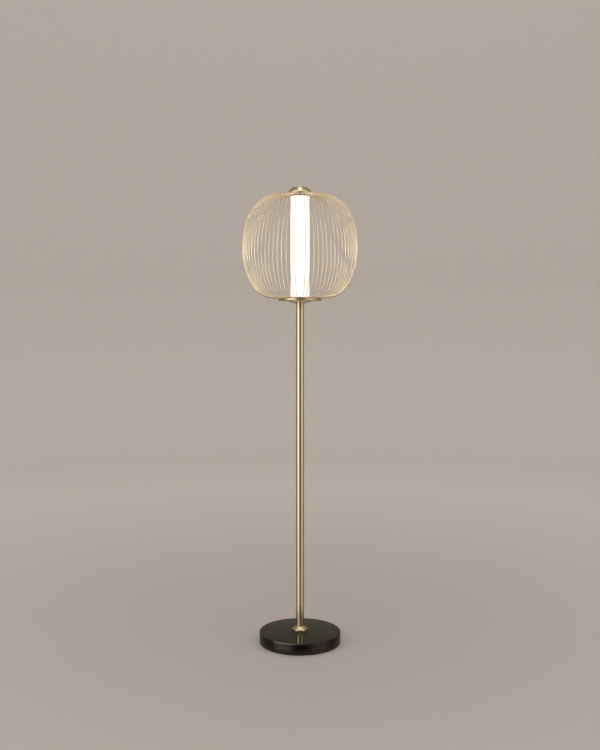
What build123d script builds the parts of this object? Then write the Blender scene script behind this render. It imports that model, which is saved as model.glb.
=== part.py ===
from build123d import *
from math import asin, cos, degrees, pi, radians, sin, sqrt
import os

# Floor lamp: a round stone foot, a brass pole, and a cage of bent wires round a
# glowing tube. Millimetres, +Z up, origin on the floor under the pole's axis.
# The front of the lamp faces -Y and the cord entry faces +Y.

# Overall
total_height = 1450.0
foot_diameter = 260.0
foot_top = 37.0
pole_diameter = 25.4
cage_diameter = 365.2
cage_top = 1423.6
cage_bottom = 1101.6

# Foot
pad_thickness = 2.0
pad_inner_radius = 90.0
pad_outer_radius = 124.0
foot_radius = foot_diameter / 2
foot_edge_radius = 2.0
foot_lower_edge = 1.0
foot_hole_radius = 5.5
pocket_radius = 70.0
pocket_top = 26.0
plate_radius = 85.5
plate_thickness = 2.0
plate_gap = 0.4
plate_top = pad_thickness + plate_thickness
cover_screw_circle = 80.5
cover_screw_count = 4
insert_radius = 3.0
insert_length = 9.0
cover_screw_radius = 2.0
cover_screw_head = 3.8

# Cord entry, at the back of the foot
entry_height = 14.0
bush_radius = 6.0
bush_bore = 3.5
bush_flange_radius = 9.0
bush_flange_thickness = 3.0
bush_seat = 129.4
bush_start = 100.0

# Threaded tube that ties the foot to the pole
thread_radius = 5.0
thread_bore = 3.5
thread_fit = 0.02
clear_hole = 5.3
tie_bottom = 15.5
tie_top = 62.0
tie_nut_flats = 17.0
tie_nut_thickness = 5.0
spring_washer_thickness = 2.0
clamp_washer_thickness = 3.0
clamp_washer_radius = 20.0

# Six-sided collar at the pole's foot
collar_flats = 46.0
collar_floor = 3.0
collar_corner_height = 5.5
collar_cone_slope = 0.84
collar_fit = 0.06

# Pole
pole_radius = pole_diameter / 2
pole_wall = 1.5
pole_bottom = foot_top + collar_floor
pole_top = 1089.0
insert_fit = 0.05
foot_insert_length = 30.0
head_insert_length = 30.0

# Hub and dish under the cage
hub_bottom = 1085.2
hub_top = 1093.2
hub_top_radius = 38.0
hub_mid_radius = 24.0
hub_mid_height = 1087.4
hub_low_radius = 15.5
dish_radius = 68.0
dish_floor = 2.0
dish_wall = 2.0
dish_rim_top = 1100.0
dish_corner = 2.2

# Rings of the cage
bottom_ring_thickness = 3.4
bottom_ring_bore = 31.6
spigot_outer = 65.5
spigot_inner = 62.5
spigot_depth = 3.2
top_ring_radius = 28.3
top_ring_bore = 12.0
top_ring_bottom = 1421.4
cap_bottom = 1426.3

# Wires of the cage: one line of tangent arcs, bulging to the widest radius
wire_count = 72
wire_radius = 1.0
wire_hole_radius = 1.02
widest_radius = cage_diameter / 2 - wire_radius
widest_height = 1251.5
upper_side_radius = 350.0
upper_shoulder_radius = 103.0
lower_side_radius = 215.0
lower_shoulder_radius = 79.0
wire_seat_depth = 2.4
wire_hole_depth = 2.6

# Cap
cap_radius = 38.5
cap_rim_height = 6.7
cap_crown_radius = 24.0
cap_crown_drop = 3.8
cap_shoulder_radius = 25.9
cap_shoulder_drop = 5.0
cap_insert_radius = 8.0
cap_insert_top = 1443.0
cap_bore_radius = 5.06
rod_top = 1442.0

# Glowing tube and what holds it
tube_radius = 30.0
tube_wall = 2.5
holder_radius = 27.3
holder_flange_bottom = dish_floor + hub_top
holder_flange_thickness = 3.0
gasket_thickness = 0.8
tube_top = 1419.2
core_bottom = 1106.0
core_top = 1412.0
core_flats = 38.0
core_sides = 8
core_bore = 15.0
core_chamber_radius = 13.0
core_chamber_top = 1126.0
core_web = 3.0
strip_width = 10.0
strip_thickness = 1.0
strip_margin = 3.0
chip_pitch = 12.5
chip_width = 3.5
chip_length = 2.8
chip_height = 0.8
upper_flange_top = 1421.0
upper_flange_radius = 29.9
head_washer_radius = 10.5
head_washer_thickness = 1.2
head_nut_flats = 14.0
head_nut_thickness = 3.0
rod_bottom = 1062.0

# Electrical parts in the foot
driver_length = 70.0
driver_width = 30.0
driver_height = 16.0
driver_front = 22.0
driver_tab_length = 6.0
driver_tab_width = 9.0
driver_tab_thickness = 2.0
driver_screw_radius = 1.5
driver_screw_head = 2.9
block_width = 24.0
block_depth = 11.0
block_height = 11.0
block_front = 55.0
block_poles = 3
earth_screw_place = (-46.0, 10.0)

# Lead from the driver up to the light source
lead_radius = 2.0
lead_height = 9.0
lead_foot_bend = 8.0
lead_exit_height = 1105.0
lead_end = (9.0, 0.0, 1119.0)
lead_head_bends = (7.0, 6.0)


def keep(built, label):
    """Names a finished piece and writes its STEP file."""
    built.part.label = label
    export_step(built.part, f"parts/{label}.step")


def ring(outer, inner, low, high):
    """A plain ring or washer round the lamp's axis."""
    with BuildPart() as piece:
        with BuildSketch(Plane.XY.offset(low)):
            Circle(outer)
            Circle(inner, mode=Mode.SUBTRACT)
        extrude(amount=high - low)
    return piece


def hex_nut(flats, bore, low, high):
    """A six-sided nut with its corners rounded off by a cone."""
    corner = flats / sqrt(3)
    lead_in = (corner - flats / 2) * 0.6
    with BuildPart() as piece:
        with BuildSketch(Plane.XY.offset(low)):
            RegularPolygon(flats / 2, 6, major_radius=False)
            Circle(bore, mode=Mode.SUBTRACT)
        extrude(amount=high - low)
        with BuildSketch(Plane.XZ):
            with BuildLine():
                Polyline(
                    (0, low), (flats / 2, low), (corner, low + lead_in),
                    (corner, high - lead_in), (flats / 2, high), (0, high), close=True,
                )
            make_face()
        revolve(axis=Axis.Z, mode=Mode.INTERSECT)
    return piece


os.makedirs("parts", exist_ok=True)

# Stone foot, with a pocket for the driver, a rebate for the cover plate and a
# hole through its back for the cord
with BuildPart() as base_disc:
    with BuildSketch(Plane.XY.offset(pad_thickness)):
        Circle(foot_radius)
    extrude(amount=foot_top - pad_thickness)
    rims = base_disc.edges().filter_by(GeomType.CIRCLE).sort_by(Axis.Z)
    fillet(rims[-1], foot_edge_radius)
    chamfer(rims[0], foot_lower_edge)
    with BuildSketch(Plane.XY.offset(pad_thickness)):
        Circle(plate_radius + plate_gap)
    extrude(amount=plate_thickness, mode=Mode.SUBTRACT)
    with BuildSketch(Plane.XY.offset(plate_top)):
        Circle(pocket_radius)
    extrude(amount=pocket_top - plate_top, mode=Mode.SUBTRACT)
    with BuildSketch(Plane.XY.offset(pocket_top)):
        Circle(foot_hole_radius)
    extrude(amount=foot_top - pocket_top, mode=Mode.SUBTRACT)
    with BuildSketch(Plane.XY.offset(plate_top)):
        with PolarLocations(cover_screw_circle, cover_screw_count, start_angle=45):
            Circle(insert_radius + thread_fit)
    extrude(amount=insert_length + 1, mode=Mode.SUBTRACT)
    with BuildSketch(Plane.XZ.offset(-pocket_radius + 5)):
        with Locations((0, entry_height)):
            Circle(bush_radius + insert_fit)
    extrude(amount=-(foot_radius - pocket_radius + 10), mode=Mode.SUBTRACT)
    with BuildSketch(Plane.XZ.offset(-bush_seat)):
        with Locations((0, entry_height)):
            Circle(bush_flange_radius + plate_gap)
    extrude(amount=-10, mode=Mode.SUBTRACT)
keep(base_disc, "base_disc")

keep(ring(pad_outer_radius, pad_inner_radius, 0, pad_thickness), "anti_slip_ring")

# Steel plate that closes the pocket from below
with BuildPart() as base_plate:
    with BuildSketch(Plane.XY.offset(pad_thickness)):
        Circle(plate_radius)
        with PolarLocations(cover_screw_circle, cover_screw_count, start_angle=45):
            Circle(cover_screw_radius + 0.2, mode=Mode.SUBTRACT)
    extrude(amount=plate_thickness)
    with BuildSketch(Plane.XY.offset(pad_thickness)):
        with PolarLocations(cover_screw_circle, cover_screw_count, start_angle=45):
            Circle(cover_screw_head + 0.2)
    extrude(amount=plate_thickness, taper=44, mode=Mode.SUBTRACT)
    tab_centre = driver_length / 2 + driver_tab_length / 2
    with BuildSketch(Plane.XY.offset(pad_thickness)):
        with Locations((0, driver_front + driver_width / 2)):
            with GridLocations(2 * tab_centre, 0, 2, 1):
                Circle(driver_screw_radius + thread_fit)
        with Locations(earth_screw_place):
            Circle(cover_screw_radius + thread_fit)
    extrude(amount=plate_thickness, mode=Mode.SUBTRACT)
keep(base_plate, "base_plate")

# Brass inserts glued into the stone
with BuildPart() as cover_inserts:
    with BuildSketch(Plane.XY.offset(plate_top)):
        with PolarLocations(cover_screw_circle, cover_screw_count, start_angle=45):
            Circle(insert_radius)
            Circle(cover_screw_radius + thread_fit, mode=Mode.SUBTRACT)
    extrude(amount=insert_length)
keep(cover_inserts, "cover_inserts")

# Countersunk screws that hold the plate
with BuildPart() as cover_screws:
    with BuildSketch(Plane.XY.offset(pad_thickness)):
        with PolarLocations(cover_screw_circle, cover_screw_count, start_angle=45):
            Circle(cover_screw_radius)
    extrude(amount=plate_thickness + insert_length - 1)
    with BuildSketch(Plane.XY.offset(pad_thickness)):
        with PolarLocations(cover_screw_circle, cover_screw_count, start_angle=45):
            Circle(cover_screw_head)
    extrude(amount=plate_thickness - 0.2, taper=45)
    with BuildSketch(Plane.XY.offset(pad_thickness)):
        with PolarLocations(cover_screw_circle, cover_screw_count, start_angle=45):
            Rectangle(0.8, 4.0)
            Rectangle(4.0, 0.8)
    extrude(amount=1.0, mode=Mode.SUBTRACT)
keep(cover_screws, "cover_screws")

# Bush that lines the cord hole, with a flange on the stone's rim
with BuildPart() as cord_bush:
    with BuildSketch(Plane.XZ.offset(-bush_start)):
        with Locations((0, entry_height)):
            Circle(bush_radius)
    extrude(amount=-(bush_seat - bush_start))
    with BuildSketch(Plane.XZ.offset(-bush_seat)):
        with Locations((0, entry_height)):
            Circle(bush_flange_radius)
    extrude(amount=-bush_flange_thickness)
    fillet(cord_bush.edges().filter_by(GeomType.CIRCLE).sort_by(Axis.Y)[-1], 1.0)
    with BuildSketch(Plane.XZ.offset(-bush_start)):
        with Locations((0, entry_height)):
            Circle(bush_bore)
    extrude(amount=-(bush_seat + bush_flange_thickness - bush_start), mode=Mode.SUBTRACT)
keep(cord_bush, "cord_bush")

# Tie between foot and pole: a threaded tube, a nut and two washers
keep(ring(thread_radius, thread_bore, tie_bottom, tie_top), "tie_tube")
washer_low = pocket_top - clamp_washer_thickness
spring_low = washer_low - spring_washer_thickness
keep(ring(clamp_washer_radius, clear_hole, washer_low, pocket_top), "clamp_washer")

with BuildPart() as spring_washer:
    with BuildSketch(Plane.XY.offset(spring_low)):
        Circle(9.0)
        Circle(clear_hole, mode=Mode.SUBTRACT)
        with Locations((7.0, 0)):
            Rectangle(6.0, 1.2, rotation=25, mode=Mode.SUBTRACT)
    extrude(amount=spring_washer_thickness)
keep(spring_washer, "spring_washer")

tie_nut_bottom = spring_low - tie_nut_thickness
keep(hex_nut(tie_nut_flats, thread_radius + thread_fit, tie_nut_bottom, spring_low), "tie_nut")

# Six-sided collar. A cone cuts its top, so that the flats end in arches.
collar_corner = collar_flats / sqrt(3)
collar_cone_top = foot_top + collar_corner_height + (
    collar_corner - pole_radius - 0.5
) * collar_cone_slope
with BuildPart() as hex_collar:
    with BuildSketch(Plane.XY.offset(foot_top)):
        RegularPolygon(collar_flats / 2, 6, major_radius=False)
    extrude(amount=collar_cone_top - foot_top)
    with BuildSketch(Plane.XZ):
        with BuildLine():
            Polyline(
                (0, foot_top), (collar_corner - 0.4, foot_top), (collar_corner, foot_top + 0.4),
                (collar_corner, foot_top + collar_corner_height),
                (pole_radius + 0.5, collar_cone_top), (0, collar_cone_top), close=True,
            )
        make_face()
    revolve(axis=Axis.Z, mode=Mode.INTERSECT)
    with BuildSketch(Plane.XY.offset(pole_bottom)):
        Circle(pole_radius + collar_fit)
    extrude(amount=collar_cone_top - pole_bottom, mode=Mode.SUBTRACT)
    with BuildSketch(Plane.XY.offset(foot_top)):
        Circle(clear_hole)
    extrude(amount=collar_floor, mode=Mode.SUBTRACT)
keep(hex_collar, "hex_collar")

# Pole, with a threaded insert in each end
keep(ring(pole_radius, pole_radius - pole_wall, pole_bottom, pole_top), "pole_tube")
insert_outer = pole_radius - pole_wall - insert_fit
insert_hole = thread_radius + thread_fit
foot_insert_top = pole_bottom + foot_insert_length
keep(ring(insert_outer, insert_hole, pole_bottom, foot_insert_top), "pole_foot_insert")
head_insert_bottom = pole_top - head_insert_length
keep(ring(insert_outer, insert_hole, head_insert_bottom, pole_top), "pole_head_insert")

# Hub under the dish: a shallow turned cone with a socket for the pole
with BuildPart() as dish_hub:
    with BuildSketch(Plane.XZ):
        with BuildLine():
            Polyline(
                (clear_hole, pole_top), (pole_radius + collar_fit, pole_top),
                (pole_radius + collar_fit, hub_bottom), (hub_low_radius, hub_bottom),
                (hub_mid_radius, hub_mid_height),
            )
            ThreePointArc(
                (hub_mid_radius, hub_mid_height),
                ((hub_mid_radius + hub_top_radius) / 2, (hub_mid_height + hub_top) / 2 - 0.5),
                (hub_top_radius, hub_top),
            )
            Polyline((hub_top_radius, hub_top), (clear_hole, hub_top), (clear_hole, pole_top))
        make_face()
    revolve(axis=Axis.Z)
keep(dish_hub, "dish_hub")

# Shallow dish, open at the top, that carries the cage on its rim
with BuildPart() as lower_dish:
    with BuildSketch(Plane.XY.offset(hub_top)):
        Circle(dish_radius)
    extrude(amount=dish_rim_top - hub_top)
    fillet(lower_dish.edges().filter_by(GeomType.CIRCLE).sort_by(Axis.Z)[0], dish_corner)
    with BuildSketch(Plane.XY.offset(hub_top + dish_floor)):
        Circle(dish_radius - dish_wall)
    extrude(amount=dish_rim_top - hub_top - dish_floor, mode=Mode.SUBTRACT)
    with BuildSketch(Plane.XY.offset(hub_top)):
        Circle(clear_hole)
    extrude(amount=dish_floor, mode=Mode.SUBTRACT)
keep(lower_dish, "lower_dish")

# Threaded rod, a tube up the middle of the head, with a window for the lead
with BuildPart() as centre_rod:
    with BuildSketch(Plane.XY.offset(rod_bottom)):
        Circle(thread_radius)
        Circle(thread_bore, mode=Mode.SUBTRACT)
    extrude(amount=rod_top - rod_bottom)
    chamfer(centre_rod.edges().filter_by(GeomType.CIRCLE).group_by(Axis.Z)[-1][-1:], 0.6)
    with BuildSketch(Plane.XY.offset(lead_exit_height - 3)):
        with Locations((thread_radius, 0)):
            Rectangle(2 * thread_radius, 5.0)
    extrude(amount=lead_end[2] - lead_exit_height + 6, mode=Mode.SUBTRACT)
keep(centre_rod, "centre_rod")

# Lower holder: a flanged cup under the glowing tube and the core
flange_top = holder_flange_bottom + holder_flange_thickness
with BuildPart() as lower_tube_holder:
    with BuildSketch(Plane.XY.offset(holder_flange_bottom)):
        Circle(tube_radius)
        Circle(clear_hole, mode=Mode.SUBTRACT)
    extrude(amount=holder_flange_thickness)
    with BuildSketch(Plane.XY.offset(flange_top)):
        Circle(holder_radius)
        Circle(holder_radius - tube_wall, mode=Mode.SUBTRACT)
        Circle(core_chamber_radius + 5)
        Circle(core_chamber_radius, mode=Mode.SUBTRACT)
    extrude(amount=core_bottom - flange_top)
keep(lower_tube_holder, "lower_tube_holder")

dish_nut_bore = thread_radius + thread_fit
keep(hex_nut(head_nut_flats, dish_nut_bore, flange_top, flange_top + head_nut_thickness), "dish_nut")

# Opal tube between two gaskets
tube_bottom = flange_top + gasket_thickness
gasket_top = tube_top + gasket_thickness
tube_bore = tube_radius - tube_wall
keep(ring(tube_radius, tube_bore, flange_top, tube_bottom), "lower_gasket")
keep(ring(tube_radius, tube_bore, tube_bottom, tube_top), "diffuser_tube")
keep(ring(upper_flange_radius, tube_bore, tube_top, gasket_top), "upper_gasket")

# Upper holder: a plug in the glowing tube's top
with BuildPart() as upper_tube_holder:
    with BuildSketch(Plane.XY.offset(core_top)):
        Circle(holder_radius)
        Circle(clear_hole, mode=Mode.SUBTRACT)
    extrude(amount=gasket_top - core_top)
    with BuildSketch(Plane.XY.offset(gasket_top)):
        Circle(upper_flange_radius)
        Circle(clear_hole, mode=Mode.SUBTRACT)
    extrude(amount=upper_flange_top - gasket_top)
    with BuildSketch(Plane.XY.offset(core_top)):
        Circle(holder_radius - tube_wall)
        Circle(core_flats / 2 - 1, mode=Mode.SUBTRACT)
    extrude(amount=gasket_top - core_top - 2, mode=Mode.SUBTRACT)
keep(upper_tube_holder, "upper_tube_holder")

# Eight-sided aluminium core. The chamber at its foot takes the lead's end.
with BuildPart() as led_core:
    with BuildSketch(Plane.XY.offset(core_bottom)):
        RegularPolygon(core_flats / 2, core_sides, major_radius=False, rotation=180 / core_sides)
        Circle(clear_hole, mode=Mode.SUBTRACT)
    extrude(amount=core_top - core_bottom)
    with BuildSketch(Plane.XY.offset(core_bottom)):
        Circle(core_chamber_radius)
    extrude(amount=core_chamber_top - core_bottom, mode=Mode.SUBTRACT)
    with BuildSketch(Plane.XY.offset(core_chamber_top + core_web)):
        Circle(core_bore)
    extrude(amount=core_top - core_chamber_top - core_web, mode=Mode.SUBTRACT)
keep(led_core, "led_core")

# Light strips: one on each side of the core, with a row of chips
strip_low = core_bottom + strip_margin
strip_length = core_top - core_bottom - 2 * strip_margin
chip_count = int(strip_length // chip_pitch)
with BuildPart() as led_strips:
    strip_middle = core_flats / 2 + strip_thickness / 2
    with BuildSketch(Plane.XY.offset(strip_low)):
        with PolarLocations(strip_middle, core_sides):
            Rectangle(strip_thickness, strip_width)
    extrude(amount=strip_length)
    chip_middle = core_flats / 2 + strip_thickness + chip_height / 2
    for row in range(chip_count):
        chip_low = strip_low + (row + 0.5) * strip_length / chip_count - chip_length / 2
        with BuildSketch(Plane.XY.offset(chip_low)):
            with PolarLocations(chip_middle, core_sides):
                Rectangle(chip_height, chip_width)
        extrude(amount=chip_length)
keep(led_strips, "led_strips")

# Connector in the core's chamber, where the lead ends
with BuildPart() as strip_connector:
    with BuildSketch(Plane.XY.offset(lead_end[2])):
        with Locations((lead_end[0], 0)):
            Rectangle(5.0, 8.0)
    extrude(amount=core_chamber_top - lead_end[2])
keep(strip_connector, "strip_connector")

# Washer and nut that clamp the head together, under the cap
head_washer_top = upper_flange_top + head_washer_thickness
keep(ring(head_washer_radius, clear_hole, upper_flange_top, head_washer_top), "head_washer")
head_nut_top = head_washer_top + head_nut_thickness
keep(hex_nut(head_nut_flats, thread_radius + thread_fit, head_washer_top, head_nut_top), "head_nut")

# Top ring of the cage, drilled for the wires
with BuildPart() as cage_top_ring:
    with BuildSketch(Plane.XY.offset(top_ring_bottom)):
        Circle(top_ring_radius)
        Circle(top_ring_bore, mode=Mode.SUBTRACT)
    extrude(amount=cap_bottom - top_ring_bottom)
    with Locations((0, 0, cage_top)):
        with PolarLocations(top_ring_radius, wire_count):
            Cylinder(
                wire_hole_radius, 2 * wire_hole_depth, rotation=(0, 90, 0), mode=Mode.SUBTRACT
            )
keep(cage_top_ring, "cage_top_ring")

# Bottom ring of the cage: a flat ring on the dish's rim, with a spigot inside it
with BuildPart() as cage_bottom_ring:
    with BuildSketch(Plane.XY.offset(dish_rim_top)):
        Circle(dish_radius)
    extrude(amount=bottom_ring_thickness)
    rims = cage_bottom_ring.edges().filter_by(GeomType.CIRCLE)
    fillet(rims, 0.4)
    with BuildSketch(Plane.XY.offset(dish_rim_top - spigot_depth)):
        Circle(spigot_outer)
        Circle(spigot_inner, mode=Mode.SUBTRACT)
    extrude(amount=spigot_depth)
    with BuildSketch(Plane.XY.offset(dish_rim_top)):
        Circle(bottom_ring_bore)
    extrude(amount=bottom_ring_thickness, mode=Mode.SUBTRACT)
    with Locations((0, 0, cage_bottom)):
        with PolarLocations(dish_radius, wire_count):
            Cylinder(
                wire_hole_radius, 2 * wire_hole_depth, rotation=(0, 90, 0), mode=Mode.SUBTRACT
            )
keep(cage_bottom_ring, "cage_bottom_ring")

# One wire, drawn in the XZ plane. Each half is a side arc from the widest point
# and a tighter shoulder arc, which ends level with its ring.
upper_turn = asin(
    (cage_top - widest_height - upper_shoulder_radius) / (upper_side_radius - upper_shoulder_radius)
)
lower_turn = asin(
    (widest_height - cage_bottom - lower_shoulder_radius) / (lower_side_radius - lower_shoulder_radius)
)
upper_side_centre = widest_radius - upper_side_radius
lower_side_centre = widest_radius - lower_side_radius
upper_shoulder_x = upper_side_centre + (upper_side_radius - upper_shoulder_radius) * cos(upper_turn)
upper_shoulder_z = cage_top - upper_shoulder_radius
lower_shoulder_x = lower_side_centre + (lower_side_radius - lower_shoulder_radius) * cos(lower_turn)
lower_shoulder_z = cage_bottom + lower_shoulder_radius
upper_degrees = degrees(upper_turn)
lower_degrees = degrees(lower_turn)
wire_top_end = (top_ring_radius - wire_seat_depth, cage_top)
wire_bottom_end = (dish_radius - wire_seat_depth, cage_bottom)

with BuildPart() as one_wire:
    with BuildLine(Plane.XZ) as wire_path:
        Line(wire_bottom_end, (lower_shoulder_x, cage_bottom))
        CenterArc(
            (lower_shoulder_x, lower_shoulder_z), lower_shoulder_radius, -90, 90 - lower_degrees
        )
        CenterArc((lower_side_centre, widest_height), lower_side_radius, -lower_degrees, lower_degrees)
        CenterArc((upper_side_centre, widest_height), upper_side_radius, 0, upper_degrees)
        CenterArc(
            (upper_shoulder_x, upper_shoulder_z),
            upper_shoulder_radius, upper_degrees, 90 - upper_degrees,
        )
        Line((upper_shoulder_x, cage_top), wire_top_end)
    with BuildSketch(Plane.YZ.offset(wire_bottom_end[0])):
        with Locations((0, cage_bottom)):
            Circle(wire_radius)
    sweep()

# The cage's wires, as a back half and a front half
for half, first_angle in (("back", 0), ("front", 180)):
    with BuildPart() as half_of_wires:
        with PolarLocations(0, wire_count // 2, start_angle=first_angle, angular_range=180):
            add(one_wire.part)
    keep(half_of_wires, f"cage_wires_{half}")

# Cap: a turned piece with an upright rim, a straight cone and a shallow crown
crown_radius = (cap_crown_radius**2 + cap_crown_drop**2) / (2 * cap_crown_drop)
crown_half = cap_crown_radius / 2
crown_half_height = total_height - crown_radius + sqrt(crown_radius**2 - crown_half**2)
with BuildPart() as top_cap:
    rim_top = cap_bottom + cap_rim_height
    with BuildSketch(Plane.XZ):
        with BuildLine():
            crown = ThreePointArc(
                (0, total_height),
                (crown_half, crown_half_height),
                (cap_crown_radius, total_height - cap_crown_drop),
            )
            shoulder = (cap_shoulder_radius, total_height - cap_shoulder_drop)
            TangentArc(crown @ 1, shoulder, tangent=crown % 1)
            Polyline(
                shoulder, (cap_radius, rim_top), (cap_radius, cap_bottom + 0.4),
                (cap_radius - 0.4, cap_bottom), (cap_insert_radius, cap_bottom),
                (cap_insert_radius, cap_insert_top), (0, cap_insert_top), (0, total_height),
            )
        make_face()
    revolve(axis=Axis.Z)
keep(top_cap, "top_cap")

# Threaded insert pressed into the cap
insert_low = cap_bottom + 0.2
with BuildPart() as cap_insert:
    with BuildSketch(Plane.XY.offset(insert_low)):
        Circle(cap_insert_radius - thread_fit)
        Circle(cap_bore_radius, mode=Mode.SUBTRACT)
    extrude(amount=cap_insert_top - insert_low)
keep(cap_insert, "cap_insert")

# Driver: a closed box with a tab at each end, screwed to the plate
driver_middle = driver_front + driver_width / 2
with BuildPart() as led_driver:
    with BuildSketch(Plane.XY.offset(plate_top)):
        with Locations((0, driver_middle)):
            RectangleRounded(driver_length, driver_width, 2.0)
    extrude(amount=driver_height)
    chamfer(led_driver.edges().group_by(Axis.Z)[-1], 0.8)
    with BuildSketch(Plane.XY.offset(plate_top)):
        with Locations((0, driver_middle)):
            Rectangle(driver_length + 2 * driver_tab_length, driver_tab_width)
            with GridLocations(2 * tab_centre, 0, 2, 1):
                Circle(driver_screw_radius + 0.2, mode=Mode.SUBTRACT)
    extrude(amount=driver_tab_thickness)
keep(led_driver, "led_driver")

with BuildPart() as driver_screws:
    with BuildSketch(Plane.XY.offset(pad_thickness)):
        with Locations((0, driver_middle)):
            with GridLocations(2 * tab_centre, 0, 2, 1):
                Circle(driver_screw_radius)
    extrude(amount=plate_thickness + driver_tab_thickness)
    with BuildSketch(Plane.XY.offset(plate_top + driver_tab_thickness)):
        with Locations((0, driver_middle)):
            with GridLocations(2 * tab_centre, 0, 2, 1):
                Circle(driver_screw_head)
    extrude(amount=1.8)
keep(driver_screws, "driver_screws")

# Terminal block, where the mains cord would be joined
with BuildPart() as terminal_block:
    with BuildSketch(Plane.XY.offset(plate_top)):
        with Locations((0, block_front + block_depth / 2)):
            Rectangle(block_width, block_depth)
    extrude(amount=block_height)
    with BuildSketch(Plane.XY.offset(plate_top + block_height)):
        with Locations((0, block_front + block_depth / 2)):
            with GridLocations(block_width / block_poles, 0, block_poles, 1):
                Circle(2.0)
    extrude(amount=-6.0, mode=Mode.SUBTRACT)
keep(terminal_block, "terminal_block")

# Earth screw on the plate
with BuildPart() as earth_screw:
    with BuildSketch(Plane.XY.offset(pad_thickness)):
        with Locations(earth_screw_place):
            Circle(cover_screw_radius)
    extrude(amount=plate_thickness + 1.0)
    with BuildSketch(Plane.XY.offset(plate_top)):
        with Locations(earth_screw_place):
            Circle(3.8)
    extrude(amount=2.6)
keep(earth_screw, "earth_screw")

# Lead from the driver, up through the pole and out of the rod's window
with BuildPart() as inner_lead:
    with BuildLine() as lead_path:
        FilletPolyline(
            (0, driver_front, lead_height), (0, 0, lead_height), (0, 0, lead_exit_height),
            (lead_end[0], 0, lead_exit_height + 8), lead_end,
            radius=[lead_foot_bend, *lead_head_bends],
        )
    with BuildSketch(Plane.XZ.offset(-driver_front)):
        with Locations((0, lead_height)):
            Circle(lead_radius)
    sweep()
keep(inner_lead, "inner_lead")

lead_length = sum(edge.length for edge in lead_path.edges())
lead_volume = pi * lead_radius**2 * lead_length
lead_radii = [edge.radius for edge in lead_path.edges().filter_by(GeomType.CIRCLE)]
print("lead: bend radii", [round(bend, 2) for bend in lead_radii])
print("lead: length", round(lead_length, 1), "volume ratio", inner_lead.part.volume / lead_volume)
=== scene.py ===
import bpy
import bmesh
from math import asin, cos, degrees, pi, radians, sin
from mathutils import Matrix, Vector


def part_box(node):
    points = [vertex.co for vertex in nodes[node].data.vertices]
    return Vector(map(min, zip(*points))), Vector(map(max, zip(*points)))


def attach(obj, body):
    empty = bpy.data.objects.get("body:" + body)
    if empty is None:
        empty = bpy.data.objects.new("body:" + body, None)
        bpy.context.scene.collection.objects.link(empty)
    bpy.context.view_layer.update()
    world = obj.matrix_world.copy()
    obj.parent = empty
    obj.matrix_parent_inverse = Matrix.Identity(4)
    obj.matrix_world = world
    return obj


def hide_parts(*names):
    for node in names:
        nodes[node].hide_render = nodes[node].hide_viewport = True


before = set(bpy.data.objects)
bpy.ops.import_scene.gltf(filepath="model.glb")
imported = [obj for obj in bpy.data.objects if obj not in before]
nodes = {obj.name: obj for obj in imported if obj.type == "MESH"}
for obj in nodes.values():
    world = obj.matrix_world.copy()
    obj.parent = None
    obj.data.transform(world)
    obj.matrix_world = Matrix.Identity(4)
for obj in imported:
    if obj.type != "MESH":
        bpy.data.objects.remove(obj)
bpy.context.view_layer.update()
print("frame loaded:", len(nodes), "nodes")

# Camera, its lens and sensor

viewSet = {
    "place": (0.0, -2.94102, 1.01102),
    "tiltDown": 2.9598,      # degrees
    "lens": 44.64,
    "sensor": 36.0,
}

cameraData = bpy.data.cameras.new("lampCamera")
cameraData.lens = viewSet["lens"]
cameraData.sensor_width = viewSet["sensor"]
camera = bpy.data.objects.new("lampCamera", cameraData)
camera.location = viewSet["place"]
camera.rotation_euler = (radians(90 - viewSet["tiltDown"]), 0, 0)
bpy.context.scene.collection.objects.link(camera)
bpy.context.scene.camera = camera
bpy.context.scene.view_settings.view_transform = "Standard"


# Shader groups that more than one material uses

def groupNode(group, kind, x=0, y=0, **values):
    node = group.nodes.new(kind)
    node.location = (x, y)
    for key, value in values.items():
        setattr(node, key, value)
    return node


def startGroup(name, inputs, outputs):
    group = bpy.data.node_groups.new(name, "ShaderNodeTree")
    for label, kind, start in inputs:
        socket = group.interface.new_socket(name=label, in_out="INPUT", socket_type=kind)
        if start is not None:
            socket.default_value = start
    for label, kind in outputs:
        group.interface.new_socket(name=label, in_out="OUTPUT", socket_type=kind)
    source = groupNode(group, "NodeGroupInput", -900, 0)
    sink = groupNode(group, "NodeGroupOutput", 900, 0)
    return group, source, sink


def makeToolMarks():
    # fine marks left by polishing: stretched noise, as a mask, plus a softer cloudy mask
    group, source, sink = startGroup(
        "toolMarks",
        [
            ("Stretch", "NodeSocketVector", (1.0, 1.0, 1.0)),
            ("Scale", "NodeSocketFloat", 400.0),
            ("Cloud Scale", "NodeSocketFloat", 18.0),
        ],
        [("Marks", "NodeSocketFloat"), ("Clouds", "NodeSocketFloat")],
    )
    place = groupNode(group, "ShaderNodeTexCoord", -900, -250)
    stretch = groupNode(group, "ShaderNodeVectorMath", -650, -100, operation="MULTIPLY")
    marks = groupNode(group, "ShaderNodeTexNoise", -350, 50)
    marks.inputs["Detail"].default_value = 3.0
    clouds = groupNode(group, "ShaderNodeTexNoise", -350, -300)
    clouds.inputs["Detail"].default_value = 4.0
    group.links.new(place.outputs["Object"], stretch.inputs[0])
    group.links.new(source.outputs["Stretch"], stretch.inputs[1])
    group.links.new(stretch.outputs[0], marks.inputs["Vector"])
    group.links.new(source.outputs["Scale"], marks.inputs["Scale"])
    group.links.new(place.outputs["Object"], clouds.inputs["Vector"])
    group.links.new(source.outputs["Cloud Scale"], clouds.inputs["Scale"])
    group.links.new(marks.outputs["Fac"], sink.inputs["Marks"])
    group.links.new(clouds.outputs["Fac"], sink.inputs["Clouds"])
    return group


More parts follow.
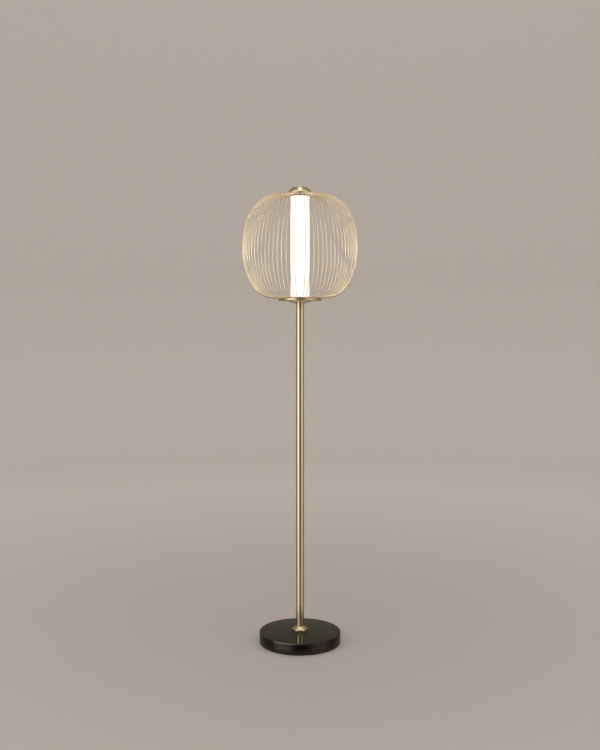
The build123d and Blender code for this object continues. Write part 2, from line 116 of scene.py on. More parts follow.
def makeTurnedRings():
    # rings left by a lathe: noise that reads only the distance from the axis and the height
    group, source, sink = startGroup(
        "turnedRings",
        [
            ("Ring Scale", "NodeSocketFloat", 900.0),
            ("Cloud Scale", "NodeSocketFloat", 25.0),
        ],
        [("Marks", "NodeSocketFloat"), ("Clouds", "NodeSocketFloat")],
    )
    place = groupNode(group, "ShaderNodeTexCoord", -900, -250)
    split = groupNode(group, "ShaderNodeSeparateXYZ", -700, -100)
    flat = groupNode(group, "ShaderNodeCombineXYZ", -520, 100)
    radius = groupNode(group, "ShaderNodeVectorMath", -340, 100, operation="LENGTH")
    join = groupNode(group, "ShaderNodeCombineXYZ", -160, 0)
    marks = groupNode(group, "ShaderNodeTexNoise", 50, 50)
    marks.inputs["Detail"].default_value = 2.0
    clouds = groupNode(group, "ShaderNodeTexNoise", 50, -300)
    clouds.inputs["Detail"].default_value = 4.0
    group.links.new(place.outputs["Object"], split.inputs[0])
    group.links.new(split.outputs["X"], flat.inputs["X"])
    group.links.new(split.outputs["Y"], flat.inputs["Y"])
    group.links.new(flat.outputs[0], radius.inputs[0])
    group.links.new(radius.outputs["Value"], join.inputs["X"])
    group.links.new(split.outputs["Z"], join.inputs["Z"])
    group.links.new(join.outputs[0], marks.inputs["Vector"])
    group.links.new(source.outputs["Ring Scale"], marks.inputs["Scale"])
    group.links.new(place.outputs["Object"], clouds.inputs["Vector"])
    group.links.new(source.outputs["Cloud Scale"], clouds.inputs["Scale"])
    group.links.new(marks.outputs["Fac"], sink.inputs["Marks"])
    group.links.new(clouds.outputs["Fac"], sink.inputs["Clouds"])
    return group


toolMarks = makeToolMarks()
turnedRings = makeTurnedRings()
print("shader groups built")


# Materials

def startMaterial(name, metallic=0.0, roughness=0.4):
    material = bpy.data.materials.new(name)
    material.use_nodes = True
    tree = material.node_tree
    surface = tree.nodes["Principled BSDF"]
    surface.inputs["Metallic"].default_value = metallic
    surface.inputs["Roughness"].default_value = roughness
    return material, tree, surface


def addMarks(tree, group, **values):
    marks = tree.nodes.new("ShaderNodeGroup")
    marks.node_tree = group
    marks.location = (-900, 0)
    for key, value in values.items():
        marks.inputs[key].default_value = value
    return marks


noiseSpan = (0.3, 0.7)           # nearly all of the noise's values lie between these


def ranged(tree, value, start, end, low=0.0, high=1.0, kind="LINEAR", x=-600, y=0):
    node = tree.nodes.new("ShaderNodeMapRange")
    node.interpolation_type = kind
    node.location = (x, y)
    for key, number in (("From Min", start), ("From Max", end), ("To Min", low), ("To Max", high)):
        node.inputs[key].default_value = number
    tree.links.new(value, node.inputs["Value"])
    return node.outputs["Result"]


def spread(tree, mask, low, high):
    return ranged(tree, mask, *noiseSpan, low, high)


def tint(tree, mask, dark, light, y=300):
    return blended(tree, mask, dark, light, x=-600, y=y)


def between(tree, value, start, end, low=0.0, high=1.0):
    return ranged(tree, value, start, end, low, high, kind="SMOOTHSTEP")


def blended(tree, share, first, second, x=0, y=0):
    # first and second are outputs or plain colours
    node = tree.nodes.new("ShaderNodeMix")
    node.data_type = "RGBA"
    node.location = (x, y)
    tree.links.new(share, node.inputs[0])
    for socket, colour in zip(node.inputs[6:8], (first, second)):      # its two colour sockets
        if isinstance(colour, tuple):
            socket.default_value = (*colour, 1)
        else:
            tree.links.new(colour, socket)
    return node.outputs[2]


def calculated(tree, operation, first, *rest):
    node = tree.nodes.new("ShaderNodeMath")
    node.operation = operation
    for socket, value in zip(node.inputs, (first, *rest)):
        if isinstance(value, (int, float)):
            socket.default_value = value
        else:
            tree.links.new(value, socket)
    return node.outputs[0]


def addBump(tree, surface, height, strength, distance):
    node = tree.nodes.new("ShaderNodeBump")
    node.location = (-300, -300)
    node.inputs["Strength"].default_value = strength
    node.inputs["Distance"].default_value = distance
    tree.links.new(height, node.inputs["Height"])
    tree.links.new(node.outputs["Normal"], surface.inputs["Normal"])


markDepth = 0.00001              # metres
grainDepth = 0.0001


def makeMetal(
    name, dark, light, rough, group, anisotropic=0.0, bump=0.1, metallic=1.0, **marksValues
):
    material, tree, surface = startMaterial(name, metallic=metallic)
    marks = addMarks(tree, group, **marksValues)
    tree.links.new(tint(tree, marks.outputs["Clouds"], dark, light), surface.inputs["Base Color"])
    tree.links.new(spread(tree, marks.outputs["Marks"], *rough), surface.inputs["Roughness"])
    surface.inputs["Anisotropic"].default_value = anisotropic
    surface.inputs["Anisotropic Rotation"].default_value = 0.25    # lathe lines run round the axis
    addBump(tree, surface, marks.outputs["Marks"], bump, markDepth)
    return material


champagne = {
    "dark": (0.81, 0.66, 0.43),
    "light": (0.86, 0.71, 0.48),
}

poleMetal = makeMetal(
    "poleMetal", champagne["dark"], champagne["light"], (0.23, 0.27), turnedRings,
    anisotropic=0.8, bump=0.01, **{"Ring Scale": 900.0, "Cloud Scale": 9.0},
)
turnedMetal = makeMetal(
    "turnedMetal", champagne["dark"], champagne["light"], (0.2, 0.27), turnedRings,
    anisotropic=0.3, **{"Ring Scale": 1500.0},
)
collarMetal = makeMetal(
    "collarMetal", champagne["dark"], champagne["light"], (0.32, 0.4), toolMarks,
    Stretch=(1.0, 1.0, 0.1), Scale=900.0,
)
# the rings take a darker copy of the champagne metal: painted shade for the dark bands where they
# sit in the cap's shadow at the top and on the dish's rim below
ringMetal = makeMetal(
    "ringMetal", (0.46, 0.34, 0.2), (0.53, 0.4, 0.25), (0.3, 0.38), turnedRings,
    anisotropic=0.3, **{"Ring Scale": 1500.0},
)
capMetal = makeMetal(
    "capMetal", champagne["dark"], champagne["light"], (0.3, 0.36), turnedRings,
    anisotropic=0.3, **{"Ring Scale": 1500.0},
)
wireMetal = makeMetal(
    "wireMetal", (0.89, 0.75, 0.54), (0.94, 0.8, 0.6), (0.38, 0.44), toolMarks,
    bump=0.01, metallic=0.6, Stretch=(1.0, 1.0, 0.05), Scale=500.0,
)
zincSteel = makeMetal(
    "zincSteel", (0.52, 0.52, 0.5), (0.66, 0.66, 0.63), (0.3, 0.45), toolMarks,
    Scale=500.0, **{"Cloud Scale": 60.0},
)
turnedBrass = makeMetal(
    "turnedBrass", (0.68, 0.5, 0.24), (0.8, 0.62, 0.34), (0.25, 0.4), turnedRings,
)
rawAluminium = makeMetal(
    "rawAluminium", (0.66, 0.66, 0.66), (0.78, 0.78, 0.78), (0.35, 0.5), toolMarks,
    Stretch=(1.0, 1.0, 0.02), Scale=1200.0,
)


stoneLook = {
    "dark": (0.006, 0.005, 0.004),
    "light": (0.016, 0.0135, 0.010),
    "grain": (0.05, 0.047, 0.04),
    "grainScale": 420.0,
    "grainFrom": 0.93,           # only the brightest cells are grains
    "grainShare": 0.5,
    "marksScale": 1300.0,
    "cloudScale": 22.0,
    "rough": (0.05, 0.1),
    "ior": 1.45,
    "shine": (1.0, 0.9, 0.72),
    "bump": 0.05,
}


def makeStone(s):
    # polished black stone: almost plain, with faint brown clouds and fine grey grains
    material, tree, surface = startMaterial("polishedStone")
    scales = {"Scale": s["marksScale"], "Cloud Scale": s["cloudScale"]}
    marks = addMarks(tree, toolMarks, **scales)
    cloudy = tint(tree, marks.outputs["Clouds"], s["dark"], s["light"])
    grains = tree.nodes.new("ShaderNodeTexVoronoi")
    grains.location = (-900, 500)
    grains.inputs["Scale"].default_value = s["grainScale"]
    place = tree.nodes.new("ShaderNodeTexCoord")
    place.location = (-1100, 500)
    tree.links.new(place.outputs["Object"], grains.inputs["Vector"])
    picked = ranged(
        tree, grains.outputs["Color"], s["grainFrom"], 1.0, 0.0, s["grainShare"], x=-700, y=500
    )
    speckled = blended(tree, picked, cloudy, s["grain"], x=-400, y=400)
    tree.links.new(speckled, surface.inputs["Base Color"])
    tree.links.new(spread(tree, marks.outputs["Clouds"], *s["rough"]), surface.inputs["Roughness"])
    surface.inputs["IOR"].default_value = s["ior"]
    surface.inputs["Specular Tint"].default_value = (*s["shine"], 1)
    addBump(tree, surface, marks.outputs["Marks"], s["bump"], markDepth)
    return material


def makeMoulded(name, dark, light, rough, grain=900.0, bump=0.2, cloud=40.0):
    material, tree, surface = startMaterial(name)
    marks = addMarks(tree, toolMarks, Scale=grain, **{"Cloud Scale": cloud})
    tree.links.new(tint(tree, marks.outputs["Clouds"], dark, light), surface.inputs["Base Color"])
    tree.links.new(spread(tree, marks.outputs["Marks"], *rough), surface.inputs["Roughness"])
    addBump(tree, surface, marks.outputs["Marks"], bump, grainDepth)
    return material


opalLook = {
    "skin": (0.95, 0.93, 0.89),
    "glow": (1.0, 0.95, 0.86),
    "edgeGlow": (0.74, 0.64, 0.52),
    "edge": (0.55, 0.95),        # how far the surface turns away before its glow dims
    "marksScale": 300.0,
    "cloudScale": 12.0,
    "rough": (0.3, 0.42),
    "coat": 0.15,
}


def makeOpal(name, strength, glow, base, s):
    # opal glass: glows evenly, a little dimmer and warmer where it turns away, under a satin skin
    material, tree, surface = startMaterial(name)
    scales = {"Scale": s["marksScale"], "Cloud Scale": s["cloudScale"]}
    marks = addMarks(tree, toolMarks, **scales)
    skin = tint(tree, marks.outputs["Clouds"], base, s["skin"])
    tree.links.new(skin, surface.inputs["Base Color"])
    warm = tint(tree, marks.outputs["Clouds"], glow, s["glow"], y=600)
    turned = tree.nodes.new("ShaderNodeLayerWeight")
    turned.location = (-900, 800)
    edge = ranged(tree, turned.outputs["Facing"], *s["edge"], x=-700, y=800)
    dimmed = blended(tree, edge, warm, s["edgeGlow"], x=-300, y=700)
    tree.links.new(dimmed, surface.inputs["Emission Color"])
    surface.inputs["Emission Strength"].default_value = strength
    tree.links.new(spread(tree, marks.outputs["Marks"], *s["rough"]), surface.inputs["Roughness"])
    surface.inputs["Coat Weight"].default_value = s["coat"]
    return material


polishedStone = makeStone(stoneLook)
softRubber = makeMoulded("softRubber", (0.018, 0.018, 0.018), (0.035, 0.035, 0.034), (0.6, 0.8))
blackPlastic = makeMoulded(
    "blackPlastic", (0.012, 0.012, 0.012), (0.024, 0.024, 0.023), (0.4, 0.55)
)
whitePlastic = makeMoulded("whitePlastic", (0.74, 0.74, 0.71), (0.82, 0.82, 0.8), (0.4, 0.55))
whiteRubber = makeMoulded("whiteRubber", (0.66, 0.65, 0.62), (0.76, 0.75, 0.72), (0.6, 0.8))
driverWhite = makeMoulded("driverWhite", (0.72, 0.72, 0.72), (0.8, 0.8, 0.8), (0.35, 0.5))
leadWhite = makeMoulded("leadWhite", (0.74, 0.74, 0.72), (0.82, 0.82, 0.8), (0.35, 0.5))
opalGlow = makeOpal("opalGlow", 1.1, (1.0, 0.93, 0.81), (0.76, 0.74, 0.7), opalLook)
stripGlow = makeOpal("stripGlow", 1.0, (1.0, 0.9, 0.7), (0.85, 0.82, 0.7), opalLook)
print("materials built")


# Building helpers

def finishPiece(bm, name, material, body, replaced, smoothUnder=35.0):
    bmesh.ops.remove_doubles(bm, verts=bm.verts, dist=1e-7)
    bmesh.ops.recalc_face_normals(bm, faces=bm.faces)
    for face in bm.faces:
        face.smooth = True
    for edge in bm.edges:
        if len(edge.link_faces) == 2:
            edge.smooth = edge.calc_face_angle(0.0) < radians(smoothUnder)
    mesh = bpy.data.meshes.new(name)
    bm.to_mesh(mesh)
    bm.free()
    mesh.materials.append(material)
    piece = bpy.data.objects.new(name, mesh)
    bpy.context.scene.collection.objects.link(piece)
    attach(piece, body)
    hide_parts(*replaced)
    return piece


def turnedProfile(points, rounds, segments=128):
    # points are (radius, height) round the section
    # rounds gives (index, radius, steps) for its corners
    bm = bmesh.new()
    corners = [bm.verts.new((r, 0.0, z)) for r, z in points]
    for first, second in zip(corners, corners[1:] + corners[:1]):
        bm.edges.new((first, second))
    for index, radius, steps in rounds:
        bmesh.ops.bevel(
            bm, geom=[corners[index]], offset=radius, offset_type="OFFSET", segments=steps,
            profile=0.5, affect="VERTICES", material=-1,
        )
    bmesh.ops.spin(
        bm, geom=list(bm.verts) + list(bm.edges), cent=(0, 0, 0), axis=(0, 0, 1),
        angle=2 * pi, steps=segments, use_merge=True,
    )
    return bm


def crossed(first, second):
    # what two solids have in common, as a new bmesh
    pair = []
    for index, bm in enumerate((first, second)):
        bmesh.ops.recalc_face_normals(bm, faces=bm.faces)
        mesh = bpy.data.meshes.new(f"crossedPart{index}")
        bm.to_mesh(mesh)
        bm.free()
        pair.append(bpy.data.objects.new(f"crossedPart{index}", mesh))
        bpy.context.scene.collection.objects.link(pair[-1])
    cut = pair[0].modifiers.new("common", "BOOLEAN")
    cut.operation = "INTERSECT"
    cut.solver = "EXACT"
    cut.object = pair[1]
    bpy.context.view_layer.update()
    result = bmesh.new()
    result.from_object(pair[0], bpy.context.evaluated_depsgraph_get())
    for piece in pair:
        mesh = piece.data
        bpy.data.objects.remove(piece)
        bpy.data.meshes.remove(mesh)
    return result


def arcPoints(centre, radius, start, end, steps):
    # points along an arc of a section, angles in degrees
    cx, cz = centre
    turns = [radians(start + (end - start) * i / steps) for i in range(steps + 1)]
    return [(cx + radius * cos(turn), cz + radius * sin(turn)) for turn in turns]


# Foot

stoneFoot = {
    "edge": 0.0022,
    "lowerEdge": 0.0012,
    "recess": 0.0004,
    "hole": 0.0053,
    "pocketRadius": 0.070,
    "pocketTop": 0.026,
}

footLow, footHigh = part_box("base_disc")
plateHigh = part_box("base_plate")[1]
footRadius = footHigh.x
rebateRadius = plateHigh.x + stoneFoot["recess"]
footSection = [
    (rebateRadius, footLow.z), (footRadius, footLow.z), (footRadius, footHigh.z),
    (stoneFoot["hole"], footHigh.z), (stoneFoot["hole"], stoneFoot["pocketTop"]),
    (stoneFoot["pocketRadius"], stoneFoot["pocketTop"]),
    (stoneFoot["pocketRadius"], plateHigh.z), (rebateRadius, plateHigh.z),
]
bm = turnedProfile(
    footSection, [(2, stoneFoot["edge"], 6), (1, stoneFoot["lowerEdge"], 2)], segments=192
)
finishPiece(bm, "stoneFoot", polishedStone, "stand", ["base_disc"])
print("foot built")


# Pole

poleTube = {
    "wall": 0.0015,
    "endEdge": 0.0004,
    "segments": 96,
}

poleLow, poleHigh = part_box("pole_tube")
poleBore = poleHigh.x - poleTube["wall"]
poleSection = [
    (poleBore, poleLow.z), (poleHigh.x, poleLow.z),
    (poleHigh.x, poleHigh.z), (poleBore, poleHigh.z),
]
bm = turnedProfile(
    poleSection, [(1, poleTube["endEdge"], 3), (2, poleTube["endEdge"], 3)], poleTube["segments"]
)
finishPiece(bm, "pole", poleMetal, "stand", ["pole_tube"])
print("pole built")


# Wires of the cage

wireSet = {
    "count": 72,
    "sides": 8,
    "radius": 0.001,
    "widest": 0.1816,
    "widestHeight": 1.2515,
    "lowerSide": 0.215,
    "lowerShoulder": 0.079,
    "upperSide": 0.350,
    "upperShoulder": 0.103,
    "steps": (14, 8, 6, 16),
    "depth": 0.0024,         # how far a wire goes into its ring
}


def makeWires(s):
    low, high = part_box("cage_wires_front")
    bottom = low.z + s["radius"]
    top = high.z - s["radius"]
    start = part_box("cage_bottom_ring")[1].x - s["depth"]
    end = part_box("cage_top_ring")[1].x - s["depth"]
    lowerTurn = asin(
        (s["widestHeight"] - bottom - s["lowerShoulder"]) / (s["lowerSide"] - s["lowerShoulder"])
    )
    upperTurn = asin(
        (top - s["widestHeight"] - s["upperShoulder"]) / (s["upperSide"] - s["upperShoulder"])
    )
    lowerSideX = s["widest"] - s["lowerSide"]
    upperSideX = s["widest"] - s["upperSide"]
    lowerX = lowerSideX + (s["lowerSide"] - s["lowerShoulder"]) * cos(lowerTurn)
    upperX = upperSideX + (s["upperSide"] - s["upperShoulder"]) * cos(upperTurn)
    bends = [
        ((lowerX, 0, bottom + s["lowerShoulder"]), pi / 2 - lowerTurn),
        ((lowerSideX, 0, s["widestHeight"]), lowerTurn),
        ((upperSideX, 0, s["widestHeight"]), upperTurn),
        ((upperX, 0, top - s["upperShoulder"]), pi / 2 - upperTurn),
    ]
    bm = bmesh.new()
    facing = Matrix.Translation((start, 0, bottom)) @ Matrix.Rotation(pi / 2, 4, "Y")
    bmesh.ops.create_circle(bm, segments=s["sides"], radius=s["radius"], matrix=facing)
    tip = list(bm.edges)
    reach = bmesh.ops.extrude_edge_only(bm, edges=tip)["geom"]
    moved = [g for g in reach if isinstance(g, bmesh.types.BMVert)]
    bmesh.ops.translate(bm, verts=moved, vec=(lowerX - start, 0, 0))
    last = [g for g in reach if not isinstance(g, bmesh.types.BMFace)]
    for (centre, angle), steps in zip(bends, s["steps"]):
        bent = bmesh.ops.spin(
            bm, geom=last, cent=centre, axis=(0, -1, 0), angle=angle, steps=steps
        )
        last = [g for g in bent["geom_last"] if not isinstance(g, bmesh.types.BMFace)]
    tip = [g for g in last if isinstance(g, bmesh.types.BMEdge)]
    reach = bmesh.ops.extrude_edge_only(bm, edges=tip)["geom"]
    moved = [g for g in reach if isinstance(g, bmesh.types.BMVert)]
    bmesh.ops.translate(bm, verts=moved, vec=(end - upperX, 0, 0))
    bmesh.ops.holes_fill(bm, edges=list(bm.edges), sides=s["sides"])
    bmesh.ops.spin(
        bm, geom=list(bm.verts) + list(bm.edges) + list(bm.faces), cent=(0, 0, 0),
        axis=(0, 0, 1), angle=2 * pi * (s["count"] - 1) / s["count"], steps=s["count"] - 1,
        use_duplicate=True,
    )
    return bm


finishPiece(
    makeWires(wireSet), "cageWires", wireMetal, "shade",
    ["cage_wires_back", "cage_wires_front"], smoothUnder=60.0,
)
print("wires built")


# Rings that hold the wires

ringSet = {
    "lowerBore": 0.0316,
    "upperBore": 0.012,
    "spigot": (0.0625, 0.0655),      # radii of the step that centres the lower ring in the dish
    "edge": 0.0004,
    "spigotEdge": 0.0003,
}

lowerRingLow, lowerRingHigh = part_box("cage_bottom_ring")
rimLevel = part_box("lower_dish")[1].z
lowerBore = ringSet["lowerBore"]
spigotIn, spigotOut = ringSet["spigot"]
lowerRingSection = [
    (lowerBore, rimLevel), (spigotIn, rimLevel), (spigotIn, lowerRingLow.z),
    (spigotOut, lowerRingLow.z), (spigotOut, rimLevel), (lowerRingHigh.x, rimLevel),
    (lowerRingHigh.x, lowerRingHigh.z), (lowerBore, lowerRingHigh.z),
]
edge = ringSet["edge"]
spigotEdge = ringSet["spigotEdge"]
bm = turnedProfile(
    lowerRingSection,
    [(7, edge, 2), (6, edge, 2), (5, edge, 2), (3, spigotEdge, 1), (2, spigotEdge, 1)],
    144,
)
finishPiece(bm, "lowerRing", ringMetal, "shade", ["cage_bottom_ring"])

upperRingLow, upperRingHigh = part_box("cage_top_ring")
upperRingSection = [
    (ringSet["upperBore"], upperRingLow.z), (upperRingHigh.x, upperRingLow.z),
    (upperRingHigh.x, upperRingHigh.z), (ringSet["upperBore"], upperRingHigh.z),
]
bm = turnedProfile(upperRingSection, [(1, edge, 2), (2, edge, 2)], 144)
finishPiece(bm, "upperRing", ringMetal, "shade", ["cage_top_ring"])
print("rings built")


# Dish and its hub

dishSet = {
    "hole": 0.0053,
    "floor": 0.002,
    "wall": 0.002,
    "corner": 0.0026,
    "rimEdge": 0.0003,
}

dishLow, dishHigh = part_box("lower_dish")
dishFloor = dishLow.z + dishSet["floor"]
dishInside = dishHigh.y - dishSet["wall"]
dishSection = [
    (dishSet["hole"], dishLow.z), (dishHigh.y, dishLow.z), (dishHigh.y, dishHigh.z),
    (dishInside, dishHigh.z), (dishInside, dishFloor), (dishSet["hole"], dishFloor),
]
bm = turnedProfile(
    dishSection,
    [(3, dishSet["rimEdge"], 1), (2, dishSet["rimEdge"], 2), (1, dishSet["corner"], 8)],
    144,
)
finishPiece(bm, "dish", turnedMetal, "stand", ["lower_dish"])

hubSet = {
    "lowRadius": 0.0155,
    "midRadius": 0.024,
    "midRise": 0.0022,
    "socket": 0.01276,
    "hole": 0.0053,
    "bulge": 0.0005,
    "flareRound": 0.008,
    "midRound": 0.002,
    "lowRound": 0.0006,
}

hubLow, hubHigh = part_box("dish_hub")
hubFlare = (
    (hubSet["midRadius"] + hubHigh.x) / 2,
    (hubLow.z + hubSet["midRise"] + hubHigh.z) / 2 - hubSet["bulge"],
)
hubSection = [
    (hubSet["hole"], poleHigh.z), (hubSet["socket"], poleHigh.z), (hubSet["socket"], hubLow.z),
    (hubSet["lowRadius"], hubLow.z), (hubSet["midRadius"], hubLow.z + hubSet["midRise"]),
    hubFlare, (hubHigh.x, hubHigh.z), (hubSet["hole"], hubHigh.z),
]
bm = turnedProfile(
    hubSection,
    [(5, hubSet["flareRound"], 5), (4, hubSet["midRound"], 4), (3, hubSet["lowRound"], 2)],
    144,
)
finishPiece(bm, "hub", turnedMetal, "stand", ["dish_hub"])
print("dish built")


# Cap

capSet = {
    "rimHeight": 0.0067,
    "rimEdge": 0.0005,
    "rimRound": 0.003,
    "crownRadius": 0.024,
    "crownDrop": 0.0038,
    "shoulderDrop": 0.005,
    "shoulderRadius": 0.005,
    "insertRadius": 0.008,
}


def makeCap(s):
    low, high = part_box("top_cap")
    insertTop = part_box("cap_insert")[1].z
    crownArc = (s["crownRadius"] ** 2 + s["crownDrop"] ** 2) / (2 * s["crownDrop"])
    crownStart = 90 - degrees(asin(s["crownRadius"] / crownArc))
    crown = arcPoints((0, high.z - crownArc), crownArc, 90, crownStart, 8)
    shoulderCentre = (
        s["crownRadius"] - s["shoulderRadius"] * cos(radians(crownStart)),
        high.z - s["crownDrop"] - s["shoulderRadius"] * sin(radians(crownStart)),
    )
    shoulderRise = high.z - s["shoulderDrop"] - shoulderCentre[1]
    shoulderEnd = degrees(asin(shoulderRise / s["shoulderRadius"]))
    shoulder = arcPoints(shoulderCentre, s["shoulderRadius"], crownStart, shoulderEnd, 5)
    points = crown + shoulder[1:] + [
        (high.x, low.z + s["rimHeight"]), (high.x, low.z), (s["insertRadius"], low.z),
        (s["insertRadius"], insertTop), (0.0, insertTop),
    ]
    rimAt = len(crown) + len(shoulder) - 1
    return turnedProfile(points, [(rimAt + 1, s["rimEdge"], 2), (rimAt, s["rimRound"], 6)], 144)


finishPiece(makeCap(capSet), "cap", capMetal, "cap", ["top_cap"])
print("cap built")


# Six-sided collar: a hexagon cut by a cone, with its edges rounded

collarSet = {
    "cornerHeight": 0.0055,
    "bore": 0.01276,
    "lip": 0.0004,
    "hole": 0.0053,
    "floor": 0.003,
    "edge": 0.0004,
    "sharp": 25,             # degrees over which an outer edge is rounded
    "inside": 0.002,         # edges this near the bore stay sharp
}


def makeCollar(s):
    low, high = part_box("hex_collar")
    corner = high.x
    neck = s["bore"] + s["lip"]
    prism = bmesh.new()
    bmesh.ops.create_circle(prism, cap_ends=True, segments=6, radius=corner)
    quarter = Matrix.Rotation(pi / 2, 3, "Z")
    bmesh.ops.rotate(prism, verts=prism.verts, cent=(0, 0, 0), matrix=quarter)
    bmesh.ops.translate(prism, verts=prism.verts, vec=(0, 0, low.z))
    raised = bmesh.ops.extrude_face_region(prism, geom=list(prism.faces))["geom"]
    tops = [g for g in raised if isinstance(g, bmesh.types.BMVert)]
    bmesh.ops.translate(prism, verts=tops, vec=(0, 0, high.z - low.z))
    cone = turnedProfile(
        [
            (s["hole"], low.z), (corner, low.z), (corner, low.z + s["cornerHeight"]),
            (neck, high.z), (s["bore"], high.z), (s["bore"], low.z + s["floor"]),
            (s["hole"], low.z + s["floor"]),
        ],
        [], 128,
    )
    bm = crossed(prism, cone)
    least = radians(s["sharp"])
    sharp = [e for e in bm.edges if len(e.link_faces) == 2 and e.calc_face_angle(0) > least]
    nearest = s["bore"] + s["inside"]
    outer = [e for e in sharp if all(v.co.xy.length > nearest for v in e.verts)]
    bmesh.ops.bevel(
        bm, geom=outer, offset=s["edge"], offset_type="OFFSET", segments=3, profile=0.5,
        affect="EDGES", material=-1, clamp_overlap=True,
    )
    return bm


finishPiece(
    makeCollar(collarSet), "collar", collarMetal, "stand", ["hex_collar"]
)
print("collar built")


# Glowing tube

tubeSet = {
    "wall": 0.0025,
    "edge": 0.0006,
}

tubeLow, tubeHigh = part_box("diffuser_tube")
tubeBore = tubeHigh.x - tubeSet["wall"]
tubeSection = [
    (tubeBore, tubeLow.z), (tubeHigh.x, tubeLow.z),
    (tubeHigh.x, tubeHigh.z), (tubeBore, tubeHigh.z),
]
bm = turnedProfile(tubeSection, [(1, tubeSet["edge"], 3), (2, tubeSet["edge"], 3)], 128)
finishPiece(bm, "opalTube", opalGlow, "stand", ["diffuser_tube"])
print("glowing tube built")


# Materials of the nodes that stay as the CAD made them

finishes = {
    "softRubber": ["anti_slip_ring"],
    "zincSteel": [
        "base_plate", "cover_screws", "tie_tube", "clamp_washer", "spring_washer", "tie_nut",
        "pole_foot_insert", "pole_head_insert", "centre_rod", "dish_nut", "head_washer",
        "head_nut", "driver_screws",
    ],
    "turnedBrass": ["cover_inserts", "cap_insert", "earth_screw"],
    "blackPlastic": ["cord_bush"],
    "whitePlastic": [
        "lower_tube_holder", "upper_tube_holder", "strip_connector", "terminal_block",
    ],
    "whiteRubber": ["lower_gasket", "upper_gasket"],
    "rawAluminium": ["led_core"],
    "stripGlow": ["led_strips"],
    "driverWhite": ["led_driver"],
    "leadWhite": ["inner_lead"],
}
for finish, names in finishes.items():
    for name in names:
        mesh = nodes[name].data
        mesh.materials.clear()
        mesh.materials.append(bpy.data.materials[finish])
print("finishes set")


# Floor and backdrop: one pale sweep

stageSet = {
    "colour": (0.59, 0.532, 0.485),
    "roughness": 0.9,
    "shine": 0.15,
    "turnStart": 4.2,
    "turnRadius": 1.4,
    "top": 6.5,
    "liftFrom": 0.0,         # metres from the lamp
    "liftTo": 3.2,
    "lift": (0.13, 0.36),    # glow near and far, seen by the camera only, for an even tone
}


def stageObject(bm, name, material):
    mesh = bpy.data.meshes.new(name)
    bm.to_mesh(mesh)
    bm.free()
    mesh.materials.append(material)
    piece = bpy.data.objects.new(name, mesh)
    bpy.context.scene.collection.objects.link(piece)
    return piece


def makeStageMaterial(s):
    material, tree, surface = startMaterial("studioFloor", roughness=s["roughness"])
    surface.inputs["Base Color"].default_value = (*s["colour"], 1)
    surface.inputs["Emission Color"].default_value = (*s["colour"], 1)
    surface.inputs["Specular IOR Level"].default_value = s["shine"]
    place = tree.nodes.new("ShaderNodeTexCoord")
    distance = tree.nodes.new("ShaderNodeVectorMath")
    distance.operation = "LENGTH"
    tree.links.new(place.outputs["Object"], distance.inputs[0])
    lift = between(tree, distance.outputs["Value"], s["liftFrom"], s["liftTo"], *s["lift"])
    rays = tree.nodes.new("ShaderNodeLightPath")
    strength = calculated(tree, "MULTIPLY", rays.outputs["Is Camera Ray"], lift)
    tree.links.new(strength, surface.inputs["Emission Strength"])
    return material


def makeStage(s):
    bm = bmesh.new()
    middle = bm.verts.new((0, 0, 0))
    rim = bmesh.ops.extrude_vert_indiv(bm, verts=[middle])["verts"]
    bmesh.ops.translate(bm, verts=rim, vec=(0, s["turnStart"], 0))
    bent = bmesh.ops.spin(
        bm, geom=rim, cent=(0, s["turnStart"], s["turnRadius"]), axis=(1, 0, 0),
        angle=pi / 2, steps=16,
    )
    last = [g for g in bent["geom_last"] if isinstance(g, bmesh.types.BMVert)]
    top = bmesh.ops.extrude_vert_indiv(bm, verts=last)["verts"]
    bmesh.ops.translate(bm, verts=top, vec=(0, 0, s["top"] - s["turnRadius"]))
    bmesh.ops.spin(
        bm, geom=list(bm.verts) + list(bm.edges), cent=(0, 0, 0), axis=(0, 0, 1),
        angle=2 * pi, steps=96, use_merge=True,
    )
    bmesh.ops.remove_doubles(bm, verts=bm.verts, dist=1e-6)
    for face in bm.faces:
        face.smooth = True
    sweep = stageObject(bm, "studioFloor", makeStageMaterial(s))
    sweep.visible_glossy = False        # metal sees the plain room instead


makeStage(stageSet)


# Lights: tall panels round the front for matt surfaces, and a strip overhead that metal sees too

panelSet = {
    "reach": 3.7,
    "height": 1.9,
    "tall": 2.8,
    "panels": {              # degrees right of the camera, width, glow
        "leftPanel": (-50.0, 2.5, 1.3),
        "rightPanel": (55.0, 2.7, 0.9),
    },
    "strip": ((0.0, -0.2, 3.7), (0.5, 3.2), 1.5),            # place, size, glow
    "catchLight": ((-1.9, -1.6, 2.4), (4.0, 0.7), 36.0),     # a glint on the stone's edge only
    "catchTarget": (0, 0, 0.04),
}


def addPanel(name, place, target, size, glow, seen=False):
    light = bpy.data.lights.new(name, "AREA")
    light.shape = "RECTANGLE"
    light.size, light.size_y = size
    light.energy = glow * pi * light.size * light.size_y
    lamp = bpy.data.objects.new(name, light)
    lamp.location = place
    lamp.rotation_euler = (Vector(target) - lamp.location).to_track_quat("-Z", "Y").to_euler()
    lamp.visible_camera = False
    lamp.visible_glossy = seen
    bpy.context.scene.collection.objects.link(lamp)
    return lamp


def makeLights(s):
    for name, (turn, width, glow) in s["panels"].items():
        place = (s["reach"] * sin(radians(turn)), -s["reach"] * cos(radians(turn)), s["height"])
        addPanel(name, place, (0, 0, s["height"]), (width, s["tall"]), glow)
    place, size, glow = s["strip"]
    addPanel("overheadStrip", place, (place[0], place[1], 0), size, glow, seen=True)
    place, size, glow = s["catchLight"]
    lamp = addPanel("catchLight", place, s["catchTarget"], size, glow, seen=True)
    lamp.visible_diffuse = False
    lamp.data.cycles.max_bounces = 0
    stone = bpy.data.collections.new("stoneOnly")
    stone.objects.link(bpy.data.objects["stoneFoot"])
    lamp.light_linking.receiver_collection = stone


# The tube's own light on the wires: upright strips just outside the tube

